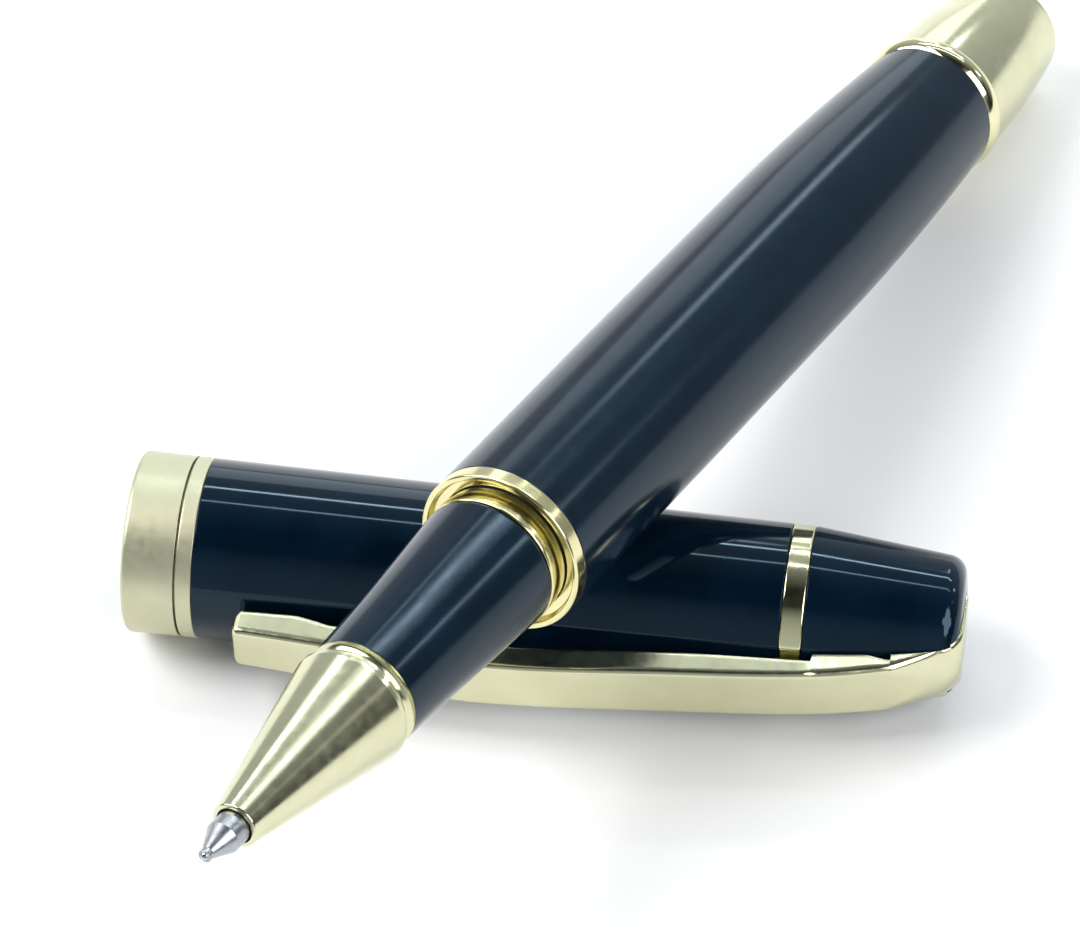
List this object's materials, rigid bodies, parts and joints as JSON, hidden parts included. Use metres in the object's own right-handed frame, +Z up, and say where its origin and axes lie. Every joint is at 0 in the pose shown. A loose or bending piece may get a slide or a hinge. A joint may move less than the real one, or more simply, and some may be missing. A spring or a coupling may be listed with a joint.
{
  "type": "rollerball pen",
  "caption": "Uncapped rollerball pen lying across its cap: lacquered barrel and cap with gold trim, sprung clip, screw-in grip section, sliding refill and rolling ball.",
  "frame": {"origin": "middle of the footprint, on the surface that the cap and the pen's tail rest on", "axes": "+X along the cap from its mouth towards its crown, seen from above; +Z up; the pen lies across the cap at 67.5 degrees to +X, tail towards +Y and low, writing tip towards -Y and high"},
  "size_m": [0.0624, 0.107, 0.0312],
  "materials": {
    "navy_lacquer": "deep gloss lacquer over brass",
    "pale_gold": "polished pale gold plate",
    "brass": "turned brass",
    "steel": "plain steel",
    "steel_tube": "drawn refill tube",
    "nickel_silver": "turned and polished",
    "carbide": "polished ball",
    "black_plastic": "moulded",
    "ink_fibre": "ink-soaked fibre",
    "rubber": "soft"
  },
  "bodies": {
    "cap": {"cap_tube": "navy_lacquer", "lip_band": "pale_gold", "lip_trim_ring": "pale_gold", "clutch_sleeve": "brass", "inner_cap": "black_plastic", "crown_ring": "pale_gold", "crown_shell": "navy_lacquer", "crown_bush": "brass", "crown_screw": "steel"},
    "clip": {"clip": "pale_gold"},
    "barrel": {"barrel_tube": "navy_lacquer", "mouth_ring": "pale_gold", "thread_bush": "brass", "tail_ring": "pale_gold", "tail_finial": "pale_gold", "tail_core": "brass", "refill_spring": "steel"},
    "thread_carrier": {"section_o_ring": "rubber"},
    "section": {"grip_sleeve": "navy_lacquer", "hub_ring": "pale_gold", "section_core": "brass", "bead_ring": "pale_gold", "nose_cone": "pale_gold"},
    "refill": {"refill_tip": "nickel_silver", "refill_nose": "black_plastic", "refill_tube": "steel_tube", "ink_feed_rod": "ink_fibre", "ink_fibre": "ink_fibre", "refill_end_plug": "black_plastic"},
    "ball": {"writing_ball": "carbide"}
  },
  "joints": [
    {"name": "clip_flex", "type": "hinge", "parent": "cap", "child": "clip", "pos_m": [0.02894, -0.00912, 0.00609], "axis": [0, 0, 1], "range_deg": [0, 3], "stiffness_Nm_per_rad": 0.6},
    {"name": "pen_lift", "type": "slide", "parent": "cap", "child": "barrel", "axis": [0, 0, 1], "range_m": [0, 0.08]},
    {"name": "section_travel", "type": "slide", "parent": "barrel", "child": "thread_carrier", "axis": [-0.3729, -0.9002, 0.2249], "range_m": [0, 0.006]},
    {"name": "section_turn", "type": "hinge", "parent": "thread_carrier", "child": "section", "pos_m": [-0.00233, -0.01974, 0.02203], "axis": [0.3729, 0.9002, -0.2249], "range_deg": [0, 1440]},
    {"name": "refill_push", "type": "slide", "parent": "section", "child": "refill", "axis": [0.3729, 0.9002, -0.2249], "range_m": [0, 0.001], "stiffness_N_per_m": 300, "springref_m": -0.002, "deforming": ["refill_spring"]},
    {"name": "ball_spin", "type": "hinge", "parent": "refill", "child": "ball", "pos_m": [-0.01616, -0.05311, 0.03037], "axis": [0.9239, -0.3827, 0], "continuous": true}
  ],
  "couplings": [
    {"joint": "section_turn", "follows": "section_travel", "rad_per_m": 4188.8}
  ]
}
